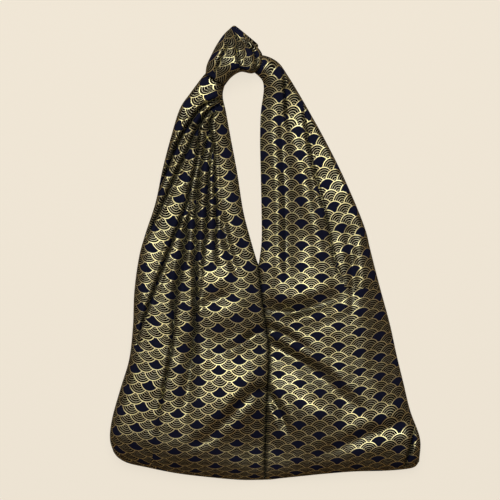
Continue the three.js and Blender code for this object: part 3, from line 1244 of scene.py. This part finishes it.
@dataclass(frozen=True)
class PlainReverse:
    """The unprinted reverse of the cotton."""

    colour: tuple = (0.016, 0.018, 0.036, 1)
    faded: tuple = (0.030, 0.032, 0.052, 1)
    fade_scale: float = 160.0
    fade_detail: float = 3.0
    thread: float = 0.0006
    relief: float = 0.00015
    relief_strength: float = 0.3
    roughness: float = 0.88

    def material(self) -> bpy.types.Material:
        """The reverse of the cotton.

        Returns:
            The material.
        """
        made = bpy.data.materials.new("plain_reverse")
        sketch = Sketch(made)
        cloth, parts = sketch.cloth()
        fade = sketch.noise(cloth, self.fade_scale, self.fade_detail)
        inputs = {
            "Base Color": sketch.blend(fade, self.colour, self.faded),
            "Roughness": self.roughness,
            "Normal": sketch.raised(sketch.weave(parts, self.thread), self.relief_strength, self.relief),
        }
        sketch.finish(inputs)
        return made


class Softbox(NamedTuple):
    """A soft light that faces the bag: its place and size in metres, and its power in watts."""

    name: str
    place: tuple[float, float, float]
    size: tuple[float, float]
    power: float

    def build(self) -> None:
        """Adds the light to the scene."""
        data = bpy.data.lights.new(self.name, "AREA")
        data.shape = "RECTANGLE"
        data.size, data.size_y = self.size
        data.energy = self.power
        light = bpy.data.objects.new(self.name, data)
        light.location = self.place
        light.rotation_euler = (-Vector(self.place)).to_track_quat("-Z", "Y").to_euler()
        bpy.context.scene.collection.objects.link(light)


@dataclass(frozen=True)
class Studio:
    """The floor, the lights and the camera above the bag.

    The view and the sensor are in millimetres, and the other lengths in metres.
    """

    view_centre: tuple[float, float] = (-20.1, 4.6)
    view_width: float = 660.0
    camera_height: float = 2.5
    subject_height: float = 0.02
    sensor: float = 36.0
    floor_size: float = 24.0
    floor_depth: float = 0.0003
    floor_colour: tuple = (0.10, 0.0917, 0.0778, 1)
    floor_glow: float = 7.75
    floor_roughness: float = 0.9
    floor_specular: float = 0.1
    sky_colour: tuple = (1.0, 0.52, 0.22, 1)
    sky_strength: float = 0.13
    lights: tuple[Softbox, ...] = (
        Softbox("key", place=(-0.08, 0.82, 1.7), size=(1.3, 1.2), power=31.0),
        Softbox("side", place=(-1.5, 0.55, 0.45), size=(0.8, 0.5), power=1.2),
    )

    def camera(self) -> None:
        """The camera, looking straight down."""
        data = bpy.data.cameras.new("camera")
        data.sensor_width = self.sensor
        reach = self.camera_height - self.subject_height
        data.lens = self.sensor * reach / (self.view_width * MM)
        camera = bpy.data.objects.new("camera", data)
        camera.location = (self.view_centre[0] * MM, self.view_centre[1] * MM, self.camera_height)
        bpy.context.scene.collection.objects.link(camera)
        bpy.context.scene.camera = camera

    def floor(self) -> None:
        """The plain pale floor."""
        shape = bmesh.new()
        bmesh.ops.create_grid(shape, x_segments=2, y_segments=2, size=self.floor_size / 2)
        mesh = bpy.data.meshes.new("floor")
        shape.to_mesh(mesh)
        shape.free()
        floor = bpy.data.objects.new("floor", mesh)
        floor.location.z = -self.floor_depth
        floor.visible_glossy = False
        bpy.context.scene.collection.objects.link(floor)
        made = bpy.data.materials.new("pale_floor")
        inputs = {
            "Base Color": self.floor_colour,
            "Roughness": self.floor_roughness,
            "Specular IOR Level": self.floor_specular,
            "Emission Color": self.floor_colour,
            "Emission Strength": self.floor_glow,
        }
        Sketch(made).finish(inputs)
        mesh.materials.append(made)

    def sky(self) -> None:
        """Dim even light from all round."""
        world = bpy.data.worlds.new("studio")
        world.use_nodes = True
        backdrop = world.node_tree.nodes["Background"]
        backdrop.inputs["Color"].default_value = self.sky_colour
        backdrop.inputs["Strength"].default_value = self.sky_strength
        bpy.context.scene.world = world

    def build(self) -> None:
        """Sets up the whole studio."""
        self.camera()
        self.floor()
        self.sky()
        for light in self.lights:
            light.build()
        bpy.context.scene.view_settings.view_transform = "Standard"


LEFT_PANEL = Panel(
    name="left_half",
    node="left_panel",
    side=Side.LEFT,
    sections=(
        Section(0, -300, 24, -201, -263, 36, 18, 7),
        Section(0, -270, 24, -205.5, -244, 38, 18, 7),
        Section(1, -236, 24, -202, -217, 40, 18, 7),
        Section(2, -196, 24, -191, -178, 38, 16, 7),
        Section(4, -156, 23, -180, -141, 36, 15, 7),
        Section(4, -114, 21, -175, -98, 34, 14, 7),
        Section(-4, -61, 18, -173, -50, 31, 15, 6),
        Section(-9, -16, 16, -167, -6, 27, 14, 4),
        Section(-19, 18, 15, -159, 24, 23, 12, 3),
        Section(-29, 57, 15, -145, 67, 22, 7, 3),
        Section(-37, 108, 15, -135, 114, 22, 6, 3),
        Section(-46, 156, 15, -122, 163, 23, 6, 3),
        Section(-52, 189, 16, -112, 193, 24, 6, 3),
        Section(-56, 208, 16, -99, 212, 25, 7, 3),
        Section(-54, 222, 16, -81, 236, 24, 11, 3),
        Section(-48, 235, 16, -69, 247, 22, 10, 3),
    ),
    base=(
        (0, -300), (-33, -300), (-79, -296), (-119, -291), (-159, -283), (-181, -278), (-194, -271),
        (-201, -263),
    ),
    folds=(
        Fold(
            (
                (-52, 206, 6), (-68, 202, 9), (-84, 193, 12), (-97, 177, 16), (-111, 155, 15),
                (-123, 129, 13), (-132, 106, 11), (-142, 82, 9), (-158, 40, 7), (-174, 0, 4.5),
                (-190, -60, 1),
            ),
            width=2.3, hides=0.6,
        ),
        Fold(
            (
                (-51, 202, 6), (-65, 195, 10), (-78, 184, 13), (-88, 169, 15), (-91, 163, 10),
                (-104, 134, 10), (-117, 107, 9), (-131, 76, 7.5), (-148, 40, 6), (-164, 6, 4),
                (-184, -40, 2.5), (-196, -90, 1),
            ),
            width=2.3, hides=0.65,
        ),
        Fold(
            (
                (-50, 199, 5), (-60, 193, 7), (-69, 184, 9), (-73, 170, 10), (-72.5, 163, 6),
                (-69, 145, 6), (-68, 139, 5), (-67, 95, 5), (-65, 60, 6), (-65, 32, 5), (-66, 8, 3.5),
                (-64, -16, 1),
            ),
            width=2.4, hides=1.35,
        ),
        Fold(
            (
                (-69, 144, 0), (-70, 138, 4), (-74, 110, 5), (-76, 84, 5), (-77, 55, 6), (-79, 25, 6),
                (-82, 0, 5), (-84, -30, 3), (-85, -62, 0),
            ),
            width=2.6, hides=0.4,
        ),
        Fold(((-60, 70, 1), (-56, 42, 4), (-45, -6, 5), (-36, -30, 1)), width=5.0, ridge=0.2),
        Fold(
            (
                (-73, 169, 0), (-74, 162, 5), (-78, 145, 5.5), (-84, 124, 6), (-89, 90, 6), (-92, 45, 6),
                (-92, 0, 7), (-91, -30, 10), (-92, -80, 8), (-94, -116, 3), (-97, -150, 0),
            ),
            width=3.6, hides=0.8,
        ),
        Fold(
            (
                (-88, 168, 0), (-88, 162, 6), (-89, 140, 6.5), (-92, 118, 7), (-98, 94, 8), (-105, 64, 8),
                (-115, 37, 9), (-124, 14, 9), (-138, -24, 9), (-150, -58, 8), (-162, -92, 5),
                (-170, -128, 1),
            ),
            width=2.4, hides=0.7,
        ),
        Fold(
            (
                (-97, 96, 0), (-99, 75, 1.5), (-101, 55, 3.5), (-105, 20, 7), (-112, -20, 10),
                (-118, -56, 8), (-121, -88, 3), (-123, -110, 0),
            ),
            width=4.0, hides=0.6,
        ),
        Fold(
            (
                (-118, -66, 0), (-122, -109, 4), (-124, -127, 5), (-131, -165, 4), (-139, -212, 2),
                (-145, -245, 1), (-149, -276, 0.3),
            ),
            width=2.4, hides=1.0,
        ),
        Fold(
            (
                (-92, -84, 1), (-94, -116, 5), (-98, -150, 7), (-104, -196, 4), (-109, -235, 1),
            ),
            width=8.0, ridge=0.2,
        ),
        Fold(((-88, -122, 3), (-45, -118, 8), (-2, -106, 9)), width=24.0, ridge=0.1),
        Fold(
            (
                (3, -104, 3), (-14, -108, 5), (-28, -119, 5), (-45, -128, 3), (-62, -136, 1),
            ),
            width=6.0, ridge=0.3,
        ),
        Fold(
            (
                (4, -182, 3), (-16, -182, 5), (-28, -193, 5), (-42, -208, 5), (-60, -226, 4),
                (-79, -243, 3), (-97, -252, 1),
            ),
            width=7.0, ridge=0.35,
        ),
    ),
    swells=(
        Swell(-46, -190, 62, 24, 43, 11),
        Swell(-62, -36, 18, 10, 20, 4),
        Swell(-62, -60, 18, 7, 15, -5),
        Swell(-10, -252, 60, 30, 0, -9),
        Swell(-4, -182, 10, 8, 0, -4),
    ),
    lips=((0, 3.5, 5), (6, 3.5, 5), (8, 6, 5), (10, 13, 9), (15, 12, 9)),
    grain=GatheredGrain(
        rows=(
            (-320, -330), (-299, -282), (-280, -244.8), (-261, -217.6), (-238.5, -190.4), (-212, -163.2),
            (-183.5, -136), (-154.6, -108.8), (-127.4, -81.6), (-99.7, -54.4), (-71.8, -27.2), (-47.5, 0),
            (-19.7, 27.2), (8, 54.4), (35.9, 81.6), (68, 108.8), (97, 136), (127, 163.2), (159, 190.4),
            (260, 276),
        ),
        start=-16,
        width=240,
        strap_width=310,
        inner_lift=0.065,
        outer_lift=0.11,
    ),
    flat=(0.48, 0.60),
    flat_area=0.19,
    columns=110,
    rows=196,
)

RIGHT_PANEL = Panel(
    name="right_half",
    node="right_panel",
    side=Side.RIGHT,
    sections=(
        Section(0, -300, 24, 204, -276, 36, 20, 7),
        Section(0, -270, 24, 205, -246, 36, 20, 7),
        Section(1, -236, 24, 192, -209, 39, 24, 7),
        Section(2, -196, 24, 183, -172, 37, 44, 7),
        Section(4, -156, 23, 174, -135, 35, 54, 7),
        Section(4, -114, 21, 165, -94, 34, 50, 7),
        Section(-4, -61, 18, 151, -42, 31, 30, 6),
        Section(-9, -16, 16, 139, 5, 25, 18, 4),
        Section(-5, 15, 15, 133, 30, 21, 9, 3),
        Section(-5, 55, 14, 120, 64, 21, 7, 3),
        Section(-6, 104, 14, 99, 111, 18, 6, 3),
        Section(-7, 150, 13, 77, 154, 16, 6, 3),
        Section(-6, 187, 13, 58, 188, 16, 6, 3),
        Section(-3, 208, 15, 43, 214, 18, 7, 3),
        Section(-2, 220, 16, 30, 235, 23, 11, 3),
        Section(-4, 230, 16, 17, 253, 24, 11, 3),
        Section(-11, 238, 16, -1, 262, 22, 10, 3),
        Section(-22, 246, 16, -20, 262, 20, 9, 3),
    ),
    base=(
        (0, -300), (39, -296), (79, -292), (118, -289), (158, -288), (184, -286), (198, -283),
        (204, -276),
    ),
    folds=(
        Fold(((23, 243, 4), (25, 225, 4), (26, 200, 4), (27, 178, 2), (28, 164, 0)), width=1.8, hides=-8),
        Fold(
            (
                (52, 190, 2), (53, 172, 3), (56, 155, 3.5), (62, 123, 4), (78, 60, 4), (93, -12, 4),
                (104, -36, 2),
            ),
            width=2.0, lean=0.2,
        ),
        Fold(
            (
                (22, 205, 1), (23, 160, 4), (25, 115, 6), (27, 70, 7), (28, 0, 8), (30, -36, 3),
            ),
            width=9.0, lean=-0.35, ridge=0.2,
        ),
        Fold(
            (
                (28, 190, -1), (42, 136, -3), (54, 84, -5), (68, 30, -7), (74, -8, -6), (76, -40, -1),
            ),
            width=11.0, ridge=0.0,
        ),
        Fold(
            (
                (-4, -75, 7), (20, -77, 10), (45, -74, 10), (80, -65, 7), (104, -54, 2),
            ),
            width=9.0, lean=-0.2, ridge=0.2,
        ),
        Fold(((24, -84, 1), (34, -80, 4), (46, -77, 4), (64, -73, 1)), width=4.0, ridge=0.3),
        Fold(
            (
                (3, -96, 4), (16, -103, 5), (31, -110, 5), (52, -124, 3), (72, -138, 1),
            ),
            width=5.0, ridge=0.3,
        ),
        Fold(
            (
                (4, -117, 3), (19, -126, 6), (34, -134, 7), (59, -146, 6), (80, -161, 4), (105, -183, 2),
                (132, -202, 0),
            ),
            width=8.0, lean=0.2, ridge=0.2,
        ),
        Fold(
            (
                (2, -108, 4), (35, -138, 8), (72, -168, 11), (108, -200, 9), (132, -222, 2),
            ),
            width=18.0, lean=0.35, ridge=0.1,
        ),
        Fold(
            (
                (74, -262, 2), (111, -249, 5), (143, -236, 6), (176, -224, 5), (192, -218, 2),
            ),
            width=9.0, ridge=0.2,
        ),
        Fold(
            (
                (193, -214, 3), (196, -228, 8), (193, -250, 9), (186, -276, 8), (181, -298, 4),
            ),
            width=3.0, ridge=0.05, hides=8,
        ),
        Fold(((109, 28, 2), (114, -10, 5), (116, -45, 5), (114, -82, 1)), width=6.5, ridge=0.15),
        Fold(((1, -178, 5), (11, -194, 6), (19, -208, 7), (25, -222, 5), (31, -237, 1)), width=5.0),
    ),
    swells=(
        Swell(78, -202, 40, 20, -19, 8),
        Swell(186, -130, 110, 48, 97, -14),
        Swell(14, -256, 50, 26, 0, -6),
    ),
    lips=((0, 3.5, 5), (6, 3.5, 5), (8, 6, 4), (9, 12, 7), (10, 24, 11), (12, 26, 12), (17, 14, 8)),
    grain=CreasedGrain(
        rows=(
            (-320, -400), (-300, -361), (-280.8, -326.4), (-261.4, -299.2), (-237, -272),
            (-209.4, -244.8), (-182, -217.6), (-158, -190.4), (-134.4, -163.2), (-106.7, -136),
            (-81.6, -108.8), (-57.2, -81.6), (-44.2, -68), (-16.5, -40.8), (11.9, -13.6), (40.9, 13.6),
            (70.4, 40.8), (100.5, 68), (131.6, 95.2), (162.8, 122.4), (270, 218),
        ),
        threads=(
            (-300, 40, 26, 26.4), (-233, 44.5, 26.4, 26.4), (-180, 46, 26.4, 26), (-121, 42, 26.4, 27),
            (-94, 40.6, 25, 27.6), (-71, 43, 24.5, 27.6), (-42, 47.2, 24, 26.6), (12, 47.7, 22.6, 27.4),
            (70, 47.2, 23, 26), (131, 46, 25, 24.5), (163, 43.4, 25, 24),
        ),
        crease=(
            (-44, 105, 119, 27), (-34, 103, 118, 27), (-12, 93, 114, 26.5), (24, 85.5, 103, 26.5),
            (60, 77.6, 90.5, 26.5), (86.5, 69.6, 82.3, 26.5), (123, 61.7, 71.2, 26), (155, 56, 62, 25),
            (172, 53, 57, 24), (186, 52, 53.5, 22), (200, 50, 50, 22), (240, 40, 40, 22),
        ),
        lean=((-300, 0.05), (-250, 0.1), (-200, 0.2), (-160, 0.24), (-100, 0.3), (-44, 0.34)),
        jump=2.5,
    ),
    flat=(0.42, 0.60),
    flat_area=0.18,
)

KNOT = Knot(
    sections=(
        WrapSection(-79, 237, -54, 222, 34),
        WrapSection(-77, 249, -44, 234, 41),
        WrapSection(-71, 262, -31, 241, 44),
        WrapSection(-65, 274, -15, 239, 42),
        WrapSection(-56, 288, -4, 250, 34),
        WrapSection(-47, 298, -4, 263, 20),
        WrapSection(-44, 301, -10, 273, 14),
    ),
    pleats=(
        Fold(
            (
                (-41, 294, 1), (-37, 279, 3), (-38, 268, 3), (-36, 258, 3), (-33, 240, 2),
            ),
            width=2.2, hides=-12,
        ),
        Fold(
            (
                (-24, 278, 1), (-17, 268, 3), (-13, 258, 3), (-12, 246, 3), (-12, 236, 2),
            ),
            width=2.2, hides=-10,
        ),
        Fold(
            (
                (-43, 294, 0), (-49, 276, 2), (-56, 261, 3), (-62, 248, 3), (-67, 236, 1),
            ),
            width=2.0, hides=-6,
        ),
        Fold(((-74, 250, 2), (-66, 263, 4), (-60, 276, 3), (-54, 286, 1)), width=3.0),
        Fold(
            (
                (-44, 292, 2), (-33, 281, 4), (-22, 271, 4), (-13, 260, 4), (-9, 250, 2),
            ),
            width=3.4, ridge=0.1,
        ),
    ),
    flat=(0.15, 0.10),
)


def main() -> None:
    """Builds the studio, then the bag's pieces in order."""
    logging.basicConfig(level=logging.INFO, format="%(message)s")
    Studio().build()
    cotton = [WavePrint().material(), PlainReverse().material()]
    for part in (LEFT_PANEL, RIGHT_PANEL, KNOT):
        part.build(cotton)


if __name__ == "__main__":
    main()
